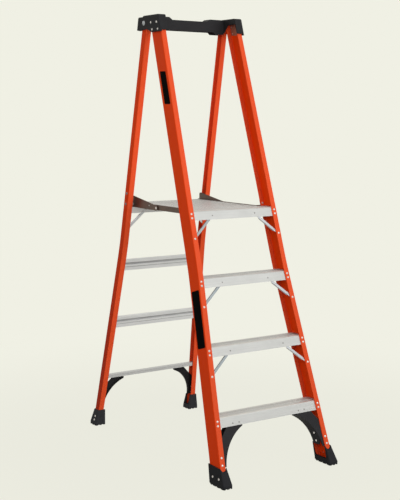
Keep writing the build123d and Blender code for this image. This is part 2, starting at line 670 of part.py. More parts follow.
def add_front_braces(name, side):
    for number, tread in enumerate(treads[1:], 2):
        low_z, high_z = tread - BRACE_DROP, tread - BRACE_FASCIA_DROP
        low = (side * (front.half(low_z) - FLANGE_RIVET_INSET), low_z)
        high = (side * (front.half(high_z) - BRACE_REACH), high_z)
        grip = RAIL_WALL + BRACE_PLATE
        front_rivets.add(front.flange_plane(*low), rivet(grip), RIVET_SHANK, grip)
        grip = STEP_WALL + BRACE_PLATE
        fascia_rivets.add(front.flange_plane(*high, RAIL_WALL), small_rivet(grip), SMALL_SHANK, grip)
        label = "platform" if number == STEP_COUNT else f"step_{number}"
        shape = brace(front, low, high, STEP_WALL)
        nodes[f"{label}_brace_{name}"] = drilled(shape, front_rivets, fascia_rivets)


def add_gussets(name, side):
    grip = RAIL_WALL + GUSSET_WALL
    for z in [gusset_low + rise for rise in GUSSET_RIVET_RISES]:
        x = side * (front.half(z) - FLANGE_RIVET_INSET)
        front_rivets.add(front.flange_plane(x, z), rivet(grip), RIVET_SHANK, grip)
        x = side * (rear.half(z, REAR_DEPTH) - FLANGE_RIVET_INSET)
        rear_rivets.add(rear.flange_plane(x, z, REAR_DEPTH, True), rivet(grip), RIVET_SHANK, grip)
    for rise, depth, reach in GUSSET_BOSSES:
        web = front.web_plane(side, gusset_low + rise, depth)
        place = Plane(origin=web.origin - web.z_dir * reach, z_dir=-web.z_dir)
        grip = reach - BLIND_SKIN
        blind = fastener(RIVET_HEAD, RIVET_DOME, RIVET_SHANK, grip)
        front_rivets.add(place, blind, RIVET_SHANK, grip, blind=True)
    tab_z = treads[0] - FASCIA + GUSSET_TAB_RIVET
    grip = STEP_WALL + GUSSET_WALL
    for inset in GUSSET_TAB_INSETS:
        place = front.flange_plane(side * (front.half(treads[0] - FASCIA) - inset), tab_z, RAIL_WALL)
        fascia_rivets.add(place, small_rivet(grip), SMALL_SHANK, grip)
    nodes[f"front_gusset_{name}"] = drilled(front_gusset(side), front_rivets, fascia_rivets)
    nodes[f"rear_gusset_{name}"] = drilled(rear_gusset(side), rear_rivets)


def add_boots(name, side):
    boot = Boot(front, side, FRONT_TOE, FRONT_HEEL, FRONT_SOLE_INSIDE, FRONT_SOLE_FLARE, BOOT_WALL)
    for depth in FRONT_BOOT_RIVET_DEPTHS:
        plane, grip = boot.rivet_place(FRONT_BOOT_RIVET_HEIGHT, depth)
        boot_rivets.add(plane, fastener(RIVET_HEAD, RIVET_DOME, RIVET_SHANK, grip), RIVET_SHANK, grip)
    nodes[f"front_boot_{name}"] = drilled(boot.solid() - boot.notch() - boot.heel_room(), boot_rivets)
    boot = Boot(rear, side, REAR_TOE, REAR_HEEL, REAR_SOLE_INSIDE, REAR_SOLE_FLARE, REAR_BOOT_INSIDE)
    for height in REAR_BOOT_RIVET_HEIGHTS:
        plane, grip = boot.rivet_place(height, REAR_BOOT_RIVET_DEPTH)
        rear_boot_rivets.add(plane, fastener(RIVET_HEAD, RIVET_DOME, RIVET_SHANK, grip), RIVET_SHANK, grip)
    nodes[f"rear_boot_{name}"] = drilled(boot.solid(), rear_boot_rivets)


# Yoke and its plates and bolts

def yoke_cap(side):
    """One end of the yoke: a cover over the front rail's top and a pocket for the rear rail's pivot."""
    low, arch, skirt = PIVOT_HEIGHT - YOKE_LOW, PIVOT_HEIGHT - YOKE_ARCH, PIVOT_HEIGHT + YOKE_SKIRT
    below, front_low = low - YOKE_WALL, PIVOT_HEIGHT - YOKE_FRONT_LOW
    ceiling, lobe_ceiling = yoke_top - YOKE_WALL, lobe_top - YOKE_WALL
    lobe_start = pivot_y + LOBE_BACK

    def nose(z, inside=0.0):
        return front.y(z, inside - YOKE_FRONT), z

    def tail(z, inside=0.0):
        return rear.y(z, REAR_DEPTH + YOKE_TAIL - inside), z

    face = outline([
        nose(low), nose(yoke_top), (lobe_start, yoke_top), (lobe_start + LOBE_SLOPE, lobe_top),
        tail(lobe_top), tail(arch), (pivot_y + HEEL_BACK, PIVOT_HEIGHT - YOKE_HEEL_LOW),
        (pivot_y + ARCH_BACK, arch), (pivot_y - ARCH_FRONT, arch), (pivot_y - ARCH_FRONT - ARCH_SLOPE, low)])
    upper = face.vertices().sort_by(Axis.Y)[-4:]
    face = face.fillet_2d(YOKE_NOSE, [upper.sort_by(Axis.X)[0], upper.sort_by(Axis.X)[-1]])
    shell = side_prism(face, side * cheek_inner, side * yoke_half)
    outer_face = shell.faces().sort_by(Axis.X)[-1 if side > 0 else 0]
    shell = fillet([edge for edge in outer_face.edges() if edge.center().Z > arch + YOKE_WALL], YOKE_ROUND)

    room_end = bar_face + YOKE_WALL
    rail_room = outline([nose(below, YOKE_WALL), nose(ceiling, YOKE_WALL), (room_end, ceiling),
                         (room_end, below)])
    rail_room = side_prism(rail_room, side * cheek_outer, side * FRONT_HALF_FLOOR)
    under_front = outline([nose(below, -YOKE_WALL), nose(front_low, -YOKE_WALL),
                           nose(front_low, 2 * YOKE_WALL), nose(below, 2 * YOKE_WALL)])
    rail_room += side_prism(under_front, side * (cheek_inner - YOKE_WALL), side * FRONT_HALF_FLOOR)
    window = outline([nose(below, YOKE_WALL), nose(skirt, YOKE_WALL), (bar_face - SKIRT_SLOPE, skirt),
                      (bar_face, arch), (bar_face, below)])
    window = side_prism(window, side * (cheek_inner - YOKE_WALL), side * (cheek_outer + YOKE_WALL))
    swing_room = outline([(pivot_y - POCKET_FRONT, below), (pivot_y - POCKET_FRONT, lobe_ceiling),
                          tail(lobe_ceiling, YOKE_WALL), tail(below, YOKE_WALL)])
    swing_room = side_prism(swing_room, side * cheek_outer, side * (yoke_half - YOKE_SIDE))
    return shell - (rail_room & front.between(0)) - window - swing_room


def hand_bar():
    """Hollow bar between the two ends, slimmer in its middle and open below."""
    ends, bar_low, bar_top = cheek_inner, PIVOT_HEIGHT - BAR_LOW, PIVOT_HEIGHT + BAR_TOP
    slim_low, slim_top = PIVOT_HEIGHT - BAR_SLIM_LOW, PIVOT_HEIGHT + BAR_SLIM_TOP
    upper = [(ends, bar_top), (BAR_TOP_HALF + BAR_TOP_SLOPE, bar_top), (BAR_TOP_HALF, slim_top)]
    lower = [(ends, bar_low), (BAR_LOW_HALF + BAR_LOW_SLOPE, bar_low), (BAR_LOW_HALF, slim_low)]

    def mirrored(points):
        return points + [(-x, z) for x, z in reversed(points)]

    def across(points, near, far):
        face = Plane.XZ * outline(points)
        return Pos(0, near, 0) * extrude(face, amount=far - near, dir=(0, 1, 0))

    solid = across(mirrored(upper) + mirrored(lower)[::-1], bar_face, bar_face + BAR_DEPTH)
    inside = [(x, z - YOKE_WALL) for x, z in mirrored(upper)]
    inside += [(-ends, bar_low - YOKE_WALL), (ends, bar_low - YOKE_WALL)]
    return solid - across(inside, bar_face + YOKE_WALL, bar_face + BAR_DEPTH - YOKE_WALL)


def add_yoke():
    for side in SIDES.values():
        for z in [PIVOT_HEIGHT - fall for fall in YOKE_RIVET_FALLS]:
            for depth in YOKE_RIVET_DEPTHS:
                grip = yoke_half - front.half(z, depth) + RAIL_WALL + BACK_PLATE + SKEW_GAP
                place = Plane(origin=(side * yoke_half, front.y(z, depth), z), z_dir=(side, 0, 0))
                yoke_rivets.add(place, rivet(grip), RIVET_SHANK, grip)
        grip = yoke_half - cheek_inner
        bolt = fastener(BOLT_HEAD, BOLT_DOME, BOLT_SHANK, grip, BOLT_NUT, BOLT_NUT_TALL)
        place = Plane(origin=(side * yoke_half, pivot_y, PIVOT_HEIGHT), z_dir=(side, 0, 0))
        rear_pivot_bolts.add(place, bolt, BOLT_SHANK, grip)
    shape = hand_bar() + yoke_cap(-1) + yoke_cap(1)
    nodes["yoke"] = drilled(shape, yoke_rivets, rear_pivot_bolts)


def back_plate(side):
    """Plate inside the front rail's top that the yoke's rivets draw against."""
    face = front.strip(side, RAIL_WALL, RAIL_WALL + BACK_PLATE)
    solid = depth_prism(face, RAIL_WALL + BACK_PLATE_GAP, FRONT_DEPTH - RAIL_WALL - BACK_PLATE_GAP)
    return front.place(solid) & level(PIVOT_HEIGHT - BACK_PLATE_LOW, yoke_top - YOKE_WALL - BACK_PLATE_GAP)


# Rear frame's cross bars and plates

def cross_bar(index):
    """Hollow bar between the rear rails, grooved in front where it is tall enough."""
    top, tall = CROSS_BAR_TOPS[index], CROSS_BAR_HEIGHTS[index]
    low = top - tall
    near, far = RAIL_WALL, REAR_DEPTH - RAIL_WALL
    face_line = [(near, top)]
    void_near = near + CROSS_BAR_WALL
    if tall > FINE_GROOVE_DROP + FINE_GROOVE_TALL:
        void_near += WIDE_GROOVE_IN
        for drop, height, cut in ((WIDE_GROOVE_DROP, WIDE_GROOVE_TALL, WIDE_GROOVE_IN),
                                  (FINE_GROOVE_DROP, FINE_GROOVE_TALL, FINE_GROOVE_IN)):
            face_line += [(near, top - drop), (near + cut, top - drop),
                          (near + cut, top - drop - height), (near, top - drop - height)]
    rim = face_line + [(near, low), (far, low), (far, top)]
    void = [(void_near, top - CROSS_BAR_WALL), (void_near, low + CROSS_BAR_WALL),
            (far - CROSS_BAR_WALL, low + CROSS_BAR_WALL), (far - CROSS_BAR_WALL, top - CROSS_BAR_WALL)]
    faces = [outline([(rear.y(z, depth), z) for depth, z in points]) for points in (rim, void)]
    solids = [side_prism(face, -REAR_HALF_FLOOR, REAR_HALF_FLOOR) for face in faces]
    return (solids[0] - solids[1]) & rear.between(RAIL_WALL + STEP_END_GAP)


def rest_bar():
    """Channel that carries the deck's rear edge; its front leg sits behind the rear braces."""
    low, under = rest_top - REST_BAR_TALL, rest_top - CROSS_BAR_WALL
    near, far = RAIL_WALL + BRACE_PLATE, REAR_DEPTH - RAIL_WALL
    points = [(near, low), (near, rest_top), (far, rest_top), (far, low), (far - CROSS_BAR_WALL, low),
              (far - CROSS_BAR_WALL, under), (near + CROSS_BAR_WALL, under), (near + CROSS_BAR_WALL, low)]
    face = outline([(rear.y(z, depth), z) for depth, z in points])
    solid = side_prism(face, -REAR_HALF_FLOOR, REAR_HALF_FLOOR)
    return solid & rear.between(RAIL_WALL + STEP_END_GAP)


def add_cross_bars():
    grip = RAIL_WALL + CROSS_BAR_WALL
    heights = [rest_top - REST_BAR_TALL / 2]
    for top, tall in zip(CROSS_BAR_TOPS, CROSS_BAR_HEIGHTS):
        if tall > 2 * CROSS_RIVET_DROP:
            heights += [top - CROSS_RIVET_DROP, top - tall + CROSS_RIVET_DROP]
        else:
            heights.append(top - tall / 2)
    for z in heights:
        for side in SIDES.values():
            x = side * (rear.half(z, REAR_DEPTH) - REAR_FLANGE / 2)
            place = rear.flange_plane(x, z, REAR_DEPTH, True)
            rear_rivets.add(place, rivet(grip), RIVET_SHANK, grip)


def add_rear_brace(name, side):
    high_z = rest_top - REST_BAR_TALL / 2
    low_z = high_z - REAR_BRACE_FALL
    low = (side * (rear.half(low_z) - REAR_BRACE_INSET), low_z)
    high = (side * (rear.half(high_z) - REAR_BRACE_REACH), high_z)
    grip = RAIL_WALL + BRACE_PLATE - BLIND_SKIN
    blind = fastener(RIVET_HEAD, SMALL_DOME, RIVET_SHANK, grip)
    place = rear.flange_plane(*low, RAIL_WALL + BRACE_PLATE, True)
    rear_rivets.add(place, blind, RIVET_SHANK, grip, blind=True)
    grip = BRACE_PLATE + CROSS_BAR_WALL
    rear_rivets.add(rear.flange_plane(*high, RAIL_WALL), rivet(grip), RIVET_SHANK, grip)
    nodes[f"rest_bar_brace_{name}"] = drilled(brace(rear, low, high, 0), rear_rivets)


def doubler(side):
    """Steel plate inside the rear rail's web, where the arm's pin passes."""
    face = rear.strip(side, RAIL_WALL, RAIL_WALL + DOUBLER_THICK)
    solid = depth_prism(face, RAIL_WALL + DOUBLER_SIDE_GAP, REAR_DEPTH - RAIL_WALL - DOUBLER_SIDE_GAP)
    return rear.place(solid) & level(deck_top - DOUBLER_FALL, deck_top + DOUBLER_RISE)


def arm_spacer(side):
    """Tube on the arm's pin, between the doubler and the arm."""
    near = arm_outer + TOUCH_GAP
    far = rear.half(arm_pivot_z, REAR_DEPTH / 2) - RAIL_WALL - DOUBLER_THICK - SKEW_GAP
    tube = Cylinder(PIN_SHANK + TUBE_WALL, far - near) - Cylinder(PIN_SHANK + HOLE_GAP, far - near)
    place = Plane(origin=(side * (near + far) / 2, arm_pivot_y, arm_pivot_z), z_dir=(1, 0, 0))
    return place.location * tube


def add_arm_mounts(name, side):
    grip = RAIL_WALL + DOUBLER_THICK
    bolt = fastener(PIN_HEAD, PIN_DOME, PIN_SHANK, grip, PIN_HEAD, PIN_DOME)
    web_bolts.add(rear.web_plane(side, deck_top + WEB_BOLT_RISE, REAR_DEPTH / 2), bolt, PIN_SHANK, grip)
    start = rear.half(arm_pivot_z, REAR_DEPTH / 2) + SKEW_GAP
    grip = start - arm_inner + TOUCH_GAP
    pin = fastener(PIN_HEAD, PIN_DOME, PIN_SHANK, grip, PIN_HEAD, PIN_BUTTON)
    place = Plane(origin=(side * start, arm_pivot_y, arm_pivot_z), z_dir=(side, 0, 0))
    arm_pivot_pins.add(place, pin, PIN_SHANK, grip)
    nodes[f"doubler_{name}"] = drilled(doubler(side), web_bolts, arm_pivot_pins)


# Deck, its brackets and the arms

def deck_bracket(side):
    """Angle behind the front rail's rear flange; its ear carries the deck's pivot."""
    way, depth = front.up(deck_pivot_z, FRONT_DEPTH + DECK_PIVOT_BACK), FRONT_DEPTH + DECK_PIVOT_BACK
    outer = front.half(deck_pivot_z) - BRACKET_EDGE
    inner = front.half(deck_pivot_z) - FRONT_FLANGE
    plate = block((side * inner, way - BRACKET_FALL, -FRONT_DEPTH),
                  (side * outer, way + BRACKET_RISE, -FRONT_DEPTH - EAR_THICK))
    plate += block((side * ear_inner, way - EAR_RADIUS, -FRONT_DEPTH),
                   (side * inner, way + EAR_RADIUS, -FRONT_DEPTH - EAR_THICK))
    ear = block((side * ear_inner, way - EAR_RADIUS, -FRONT_DEPTH),
                (side * ear_outer, way + EAR_RADIUS, -depth))
    ear_middle = Pos(side * (ear_inner + ear_outer) / 2, way, -depth)
    ear += ear_middle * Rot(0, 90, 0) * Cylinder(EAR_RADIUS, EAR_THICK)
    return front.place(plate + ear)


def add_deck_bracket(name, side):
    grip = RAIL_WALL + EAR_THICK
    for shift in BRACKET_RIVETS:
        z = deck_pivot_z + shift
        x = side * (front.half(z, FRONT_DEPTH) - FLANGE_RIVET_INSET)
        place = front.flange_plane(x, z, FRONT_DEPTH - RAIL_WALL)
        bracket_rivets.add(place, rivet(grip), RIVET_SHANK, grip)
    grip = ear_outer - bar_inner + TOUCH_GAP
    pin = fastener(PIN_HEAD, PIN_DOME, PIN_SHANK, grip, PIN_HEAD, PIN_DOME)
    place = Plane(origin=(side * (bar_inner - TOUCH_GAP), deck_pivot_y, deck_pivot_z), z_dir=(-side, 0, 0))
    deck_pivot_pins.add(place, pin, PIN_SHANK, grip)
    nodes[f"deck_bracket_{name}"] = drilled(deck_bracket(side), bracket_rivets, deck_pivot_pins)


plank_width = (deck_end - deck_start - (PLANK_COUNT - 1) * PLANK_GAP) / PLANK_COUNT
plank_low = deck_under + SIDE_BAR_THICK


def plank_start(index):
    return deck_start + index * (plank_width + PLANK_GAP)


def boss_places(index):
    start = plank_start(index)
    return start + PLANK_BOSS_EDGE, start + plank_width - PLANK_BOSS_EDGE


def head_room(side, y):
    """Notch in the planks' ends round the head of a pivot pin."""
    place = Plane(origin=(side * bar_inner, y, deck_pivot_z), z_dir=(side, 0, 0))
    return place.location * Cylinder(PIN_HEAD + HEAD_GAP, 2 * (PIN_DOME + HEAD_GAP))


def plank(index):
    """Ribbed plank with a leg along each edge and two screw bosses under its skin."""
    start = plank_start(index)
    end, under = start + plank_width, deck_top - PLANK_WALL
    points = [(start, plank_low)] + ribbed_top(start, end, deck_top) + [(end, plank_low)]
    points += [(end - PLANK_WALL, plank_low), (end - PLANK_WALL, under)]
    for y in reversed(boss_places(index)):
        points += [(y + PLANK_BOSS / 2, under), (y + PLANK_BOSS / 2, under - PLANK_BOSS),
                   (y - PLANK_BOSS / 2, under - PLANK_BOSS), (y - PLANK_BOSS / 2, under)]
    points += [(start + PLANK_WALL, under), (start + PLANK_WALL, plank_low)]
    solid = drilled(side_prism(outline(points), -deck_half, deck_half), deck_screws)
    return solid - [head_room(side, y) for side in SIDES.values() for y in (deck_pivot_y, middle_y)]


def side_bar(side):
    """Steel angle along the deck's edge: a web that stands above the tread and a shelf under the planks."""
    start, end = deck_pivot_y - SIDE_BAR_TALL / 2, deck_end
    face = outline([(start, deck_under), (end, deck_under), (end, deck_under + SIDE_BAR_TALL),
                    (start, deck_under + SIDE_BAR_TALL)])
    face = face.fillet_2d(SIDE_BAR_ROUND, face.vertices().sort_by(Axis.X)[:2])
    web = side_prism(face, side * bar_inner, side * bar_outer)
    shelf = block((side * (bar_inner - SIDE_BAR_SHELF), deck_start, deck_under),
                  (side * bar_outer, end, plank_low))
    return web + shelf


def add_deck_fasteners(side):
    boss_z = deck_top - PLANK_WALL - PLANK_BOSS / 2
    screw = fastener(SMALL_HEAD, FLUSH_DOME, SMALL_SHANK, SCREW_GRIP)
    for index in range(PLANK_COUNT):
        for y in boss_places(index):
            place = Plane(origin=(side * bar_outer, y, boss_z), z_dir=(side, 0, 0))
            deck_screws.add(place, screw, SMALL_SHANK, SCREW_GRIP)
    grip = SIDE_BAR_THICK + TOUCH_GAP
    stud = fastener(PIN_HEAD, PIN_DOME, PIN_SHANK, grip)
    place = Plane(origin=(side * bar_inner, middle_y, deck_pivot_z), z_dir=(-side, 0, 0))
    deck_pivot_studs.add(place, stud, PIN_SHANK, grip)


def arm(side):
    """Stamped arm from the middle pivot to the rear frame, tall at its rear end."""
    low = rest_top + ARM_CLEAR
    tail = arm_pivot_y + ARM_TAIL
    top = deck_top + ARM_RISE
    body = outline([(middle_y, deck_pivot_z - ARM_FRONT_RADIUS), (tail, low), (tail, top),
                    (tail - ARM_CROWN, top), (middle_y, deck_pivot_z + ARM_FRONT_RADIUS)])
    body = body.fillet_2d(ARM_ROUND, body.vertices().sort_by(Axis.X)[-2:])
    nose = Pos(middle_y, deck_pivot_z) * Circle(ARM_FRONT_RADIUS)
    return side_prism(body, side * arm_inner, side * arm_outer) + side_prism(nose.face(), side * arm_inner,
                                                                             side * arm_outer)


def add_arm(name, side):
    grip = ARM_THICK + TOUCH_GAP
    stud = fastener(PIN_HEAD, PIN_DOME, PIN_SHANK, grip)
    place = Plane(origin=(side * arm_outer, middle_y, deck_pivot_z), z_dir=(side, 0, 0))
    arm_rivets.add(place, stud, PIN_SHANK, grip)
    place = Plane(origin=(side * arm_outer, middle_y + ARM_RIVET_BACK, deck_pivot_z + ARM_RIVET_BACK / 8),
                  z_dir=(side, 0, 0))
    small = fastener(SMALL_HEAD, SMALL_DOME, SMALL_SHANK, grip)
    arm_rivets.add(place, small, SMALL_SHANK, grip)
    nodes[f"arm_{name}"] = drilled(arm(side), arm_rivets, arm_pivot_pins)


# Assembly

for name, side in SIDES.items():
    add_step_rivets(side)
    add_front_braces(name, side)
    add_gussets(name, side)
    add_boots(name, side)
    add_rear_brace(name, side)
    add_arm_mounts(name, side)
    add_deck_bracket(name, side)
    add_deck_fasteners(side)
    add_arm(name, side)
add_yoke()
add_cross_bars()

for number, tread in enumerate(treads, 1):
    label = "platform_step" if number == STEP_COUNT else f"step_{number}"
    nodes[label] = drilled(step(tread), front_rivets, fascia_rivets)
for index in range(len(CROSS_BAR_TOPS)):
    nodes[f"cross_bar_{index + 1}"] = drilled(cross_bar(index), rear_rivets)
nodes["rest_bar"] = drilled(rest_bar(), rear_rivets)
for index in range(PLANK_COUNT):
    nodes[f"deck_plank_{index + 1}"] = plank(index)
for name, side in SIDES.items():
    rail = front.rail(side, SOLE, yoke_top - YOKE_WALL)
    nodes[f"front_rail_{name}"] = drilled(rail, front_rivets, boot_rivets, yoke_rivets, bracket_rivets)
    rail = rear.rail(side, SOLE, PIVOT_HEIGHT + REAR_RAIL_END)
    nodes[f"rear_rail_{name}"] = drilled(rail, rear_rivets, rear_boot_rivets, web_bolts, arm_pivot_pins,
                                         rear_pivot_bolts)
    nodes[f"back_plate_{name}"] = drilled(back_plate(side), yoke_rivets)
    nodes[f"side_bar_{name}"] = drilled(side_bar(side), deck_screws, deck_pivot_studs, deck_pivot_pins)

nodes["front_rivets"] = front_rivets.node()
nodes["fascia_rivets"] = fascia_rivets.node()
nodes["boot_rivets"] = boot_rivets.node()
nodes["yoke_rivets"] = yoke_rivets.node()
nodes["bracket_rivets"] = bracket_rivets.node()
nodes["deck_pivot_pins"] = deck_pivot_pins.node()
nodes["rear_pivot_bolts"] = rear_pivot_bolts.node()
nodes["rear_rivets"] = rear_rivets.node()
nodes["rear_boot_rivets"] = rear_boot_rivets.node()
nodes["web_bolts"] = web_bolts.node()
nodes["arm_pivot_pins"] = arm_pivot_pins.node()
nodes["arm_spacers"] = Compound([solid for side in SIDES.values() for solid in arm_spacer(side).solids()])
nodes["deck_screws"] = deck_screws.node()
nodes["deck_pivot_studs"] = deck_pivot_studs.node()
nodes["arm_rivets"] = arm_rivets.node()

for name, shape in nodes.items():
    export_step(shape, f"parts/{name}.step")
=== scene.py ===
import json
from math import cos, radians, sin, tan

import bmesh
import bpy
from mathutils import Matrix, Vector


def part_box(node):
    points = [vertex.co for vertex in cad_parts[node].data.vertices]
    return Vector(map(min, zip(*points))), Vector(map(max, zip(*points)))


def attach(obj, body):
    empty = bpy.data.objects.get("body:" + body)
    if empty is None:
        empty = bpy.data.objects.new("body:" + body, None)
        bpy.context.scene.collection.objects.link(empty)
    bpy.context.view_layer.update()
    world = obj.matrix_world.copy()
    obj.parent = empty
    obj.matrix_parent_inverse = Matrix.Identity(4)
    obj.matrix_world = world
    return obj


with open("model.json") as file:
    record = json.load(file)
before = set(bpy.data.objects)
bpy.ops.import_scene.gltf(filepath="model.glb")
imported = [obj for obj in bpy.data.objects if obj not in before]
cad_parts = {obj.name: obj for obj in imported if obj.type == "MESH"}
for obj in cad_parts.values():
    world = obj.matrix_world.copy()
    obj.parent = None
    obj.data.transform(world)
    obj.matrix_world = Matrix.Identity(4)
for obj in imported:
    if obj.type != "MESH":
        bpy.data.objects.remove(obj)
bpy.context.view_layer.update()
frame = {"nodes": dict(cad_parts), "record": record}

# Lengths are in metres, angles in degrees, lamp powers in watts and colours in linear light.

# Camera
CAMERA_PLACE = Vector((-2.8492, -4.166962, 1.5721))
CAMERA_YAW = 33.993              # from +Y towards +X
CAMERA_PITCH = -7.141
CAMERA_ROLL = 0.205
CAMERA_LENS = 77.3               # in millimetres, like the sensor
SENSOR = 36.0

# Rails
FRONT_LEAN = 17.7
REAR_LEAN = -11.0
FRONT_START = -0.580362          # front rails' front face, on the floor
HALF_FLOOR = 0.3103              # front rails' outer faces, from the middle
HALF_BEND = 0.2494
HALF_TOP = 0.2261
BEND_HEIGHT = 0.896
TOP_HEIGHT = 1.996
RAIL_SHADE_LOW = 0.30             # painted shade darkens the rails up to here
RAIL_SHADE_HIGH = 1.35            # and is gone from here

# Blank films on the left front rail's outer face
FILM_THICK = 0.0003
FILM_CORNER = 0.006
FILM_CORNER_SEGMENTS = 5
UPPER_FILM_DEPTHS = (0.0154, 0.0614)
UPPER_FILM_HEIGHTS = (1.6225, 1.771)
LOWER_FILM_DEPTHS = (0.0097, 0.069)
LOWER_FILM_WAYS = (0.602, 0.857)     # up the slope

# Grooves of the tall cross bars, down from their tops
WIDE_GROOVE = (0.0152, 0.0259)
FINE_GROOVE = (0.0357, 0.0387)

# Dark line along the treads, forward from their rear edges
TREAD_DARK_LINE = (0.022, 0.031)

# Studio
BACKDROP = (0.871, 0.871, 0.776)
BACKDROP_GLOW = 1.0
FLOOR = (0.36, 0.36, 0.33)
FLOOR_ROUGH = 0.9
FLOOR_HALF = 30.0
FLOOR_SHADOW = 0.08              # share of the floor's own shading near the ladder
FLOOR_FADE_START = 0.6
FLOOR_FADE_END = 2.6
FILL = (1.0, 0.985, 0.95)
FILL_STRENGTH = 0.42
LAMPS = {                        # place, target, width and power
    "key_lamp": ((0.6, -5.4, 3.6), (0, 0, 0.9), 3.4, 112),
    "low_lamp": ((0.2, -5.2, 0.9), (0, 0, 0.6), 2.4, 30),
    "sheen_lamp": ((2.8, -3.9, 3.0), (0, 0, 1.0), 3.0, 40),
    "side_lamp": ((-2.2, -2.9, 2.2), (0, 0, 1.1), 1.8, 26),
    "back_lamp": ((-0.5, 4.2, 3.6), (0, 0, 1.2), 2.5, 30)}

# Colours
# Rail colours, low and high: the low ones are painted shade towards the floor
FRONT_WEBS = ((0.84, 0.053, 0.003), (1.0, 0.066, 0.003))         # low and high on the rails
# Flange colours are paler than the webs': painted sheen
FRONT_FLANGES = ((0.66, 0.077, 0.024), (0.81, 0.091, 0.028))
# The rear rails' colours paint deeper shade low on the webs and more light on the flanges
REAR_WEBS = ((0.44, 0.020, 0.001), (1.0, 0.062, 0.002))
REAR_FLANGES = ((0.93, 0.102, 0.030), (0.96, 0.104, 0.031))
ORANGE_PALE = (0.90, 0.095, 0.016)
ALUMINIUM = (0.51, 0.513, 0.510)
ALUMINIUM_DARK = (0.42, 0.423, 0.420)
# Tread tops: wear, and painted light on faces that look up
TREAD_WORN_LIT = (0.72, 0.70, 0.67)
DARK_TREAD_TONE = (0.40, 0.36, 0.34)
BAR = (0.84, 0.845, 0.86)
BAR_DARK = (0.70, 0.705, 0.72)
# The lowest cross bar: a darker copy of the bar colour, painted shade
LOW_BAR = (0.66, 0.66, 0.67)
LOW_BAR_DARK = (0.54, 0.54, 0.55)
# Painted shade in the grooves of the cross bars
GROOVE_SHADE = (0.40, 0.40, 0.41)
BRONZE = (0.13, 0.075, 0.055)
BRONZE_DARK = (0.075, 0.045, 0.035)
ZINC = (0.47, 0.49, 0.52)
ZINC_DARK = (0.36, 0.38, 0.41)
# Rest bar braces: zinc painted paler against their shade under the deck, painted light
PALE_ZINC = (0.86, 0.89, 0.92)
PALE_ZINC_DARK = (0.68, 0.71, 0.74)
# Left step braces: the zinc painted darker than on the right, painted shade
SHADED_ZINC = (0.30, 0.33, 0.35)
SHADED_ZINC_DARK = (0.23, 0.255, 0.275)
STEEL = (0.72, 0.68, 0.67)
STEEL_DARK = (0.50, 0.47, 0.46)
DULL_STEEL = (0.24, 0.235, 0.23)
DULL_STEEL_DARK = (0.16, 0.155, 0.15)
PLATE = (0.46, 0.17, 0.11)
PLATE_DARK = (0.38, 0.14, 0.09)
BLACK = (0.024, 0.0235, 0.0255)
BLACK_WORN = (0.036, 0.036, 0.039)
BOOT = (0.017, 0.0175, 0.020)
BOOT_WORN = (0.036, 0.037, 0.041)
# Rear boots: the boot black painted paler against their shade, painted light
REAR_BOOT = (0.041, 0.0415, 0.0455)
FILM = (0.0022, 0.0020, 0.0020)

# Noises of the finishes, by their frequency per metre: one for every way, or one for each axis
RAIL_FIBRES = dict(stretch=(900, 900, 7), detail=4.0, rough=0.6)
RAIL_BANDS = dict(stretch=(60, 60, 1.6), detail=2.0, rough=0.5)
RAIL_RUBS = dict(stretch=(170, 170, 26), detail=6.0, rough=0.7)
RAIL_CLOUD = dict(scale=5.0, detail=4.0, rough=0.55)
DRAW_LINES = dict(stretch=(3, 700, 700), detail=5.0, rough=0.65)
DRAW_BANDS = dict(stretch=(1.5, 90, 90), detail=3.0, rough=0.5)
SCUFFS = dict(stretch=(60, 240, 240), detail=4.0, rough=0.6)
STAINS = dict(scale=9.0, detail=5.0, rough=0.6)
PLATING_CLOUD = dict(scale=24.0, detail=5.0, rough=0.6)
ROLLED_GRAIN = dict(scale=420.0, detail=3.0, rough=0.6)
NICKS = dict(scale=210.0, detail=2.0, rough=0.5)
MOULD_PITS = 900.0
MOULD_GRAIN = dict(scale=1600.0, detail=2.0, rough=0.55)
MOULD_CLOUD = dict(scale=14.0, detail=5.0, rough=0.6)
MOULD_RUBS = dict(scale=60.0, detail=6.0, rough=0.7)
FILM_RIPPLE = dict(stretch=(600, 600, 12), detail=3.0, rough=0.5)
FILM_CLOUD = dict(scale=40.0, detail=4.0, rough=0.55)
FILM_RUBS = dict(stretch=(120, 120, 30), detail=5.0, rough=0.7)

# Noise values between which a mark comes in
RAIL_BAND_EDGE = (0.30, 0.70)
RAIL_RUB_EDGE = (0.66, 0.80)
LINE_EDGE = (0.32, 0.66)
BAND_EDGE = (0.35, 0.75)
BAND_GRIME_EDGE = (0.50, 0.70)
STAIN_EDGE = (0.45, 0.78)
SCUFF_EDGE = (0.60, 0.74)
PLATING_EDGE = (0.30, 0.70)
NICK_EDGE = (0.68, 0.76)
MOULD_CLOUD_EDGE = (0.35, 0.75)
MOULD_RUB_EDGE = (0.60, 0.78)
FILM_CLOUD_EDGE = (0.4, 0.8)
FILM_RUB_EDGE = (0.62, 0.80)

# Shares with which marks show in a colour
RAIL_BAND_SHARE = 0.15           # of the way from painted shade to lit, the rest goes by height
FIBRE_LEVEL = 0.46               # fibres show from this noise value
FIBRE_SHOW = 1.2
RAIL_RUB_SHOW = 0.25
BAND_SHOW = 0.25
STAIN_SHOW = 0.35
SCUFF_SHOW = 0.22
TROD_SCUFF_SHARE = 0.4           # of the scuffs, on pieces that are trodden
TROD_SHOW = 0.62                 # wear and painted light on a tread's top, and more of it on stains
TROD_STAIN_SHOW = 0.5
BAND_GRIME_SHOW = 0.35
DARK_LINE_SHOW = 0.7
# Painted shade in the bar grooves, deeper on stains
GROOVE_SHOW = 0.70
GROOVE_STAIN_SHOW = 0.4
NICK_SHOW = 0.35
MOULD_CLOUD_SHOW = 0.45
MOULD_RUB_SHOW = 0.4
FILM_CLOUD_SHOW = 0.10
FILM_RUB_SHOW = 0.1

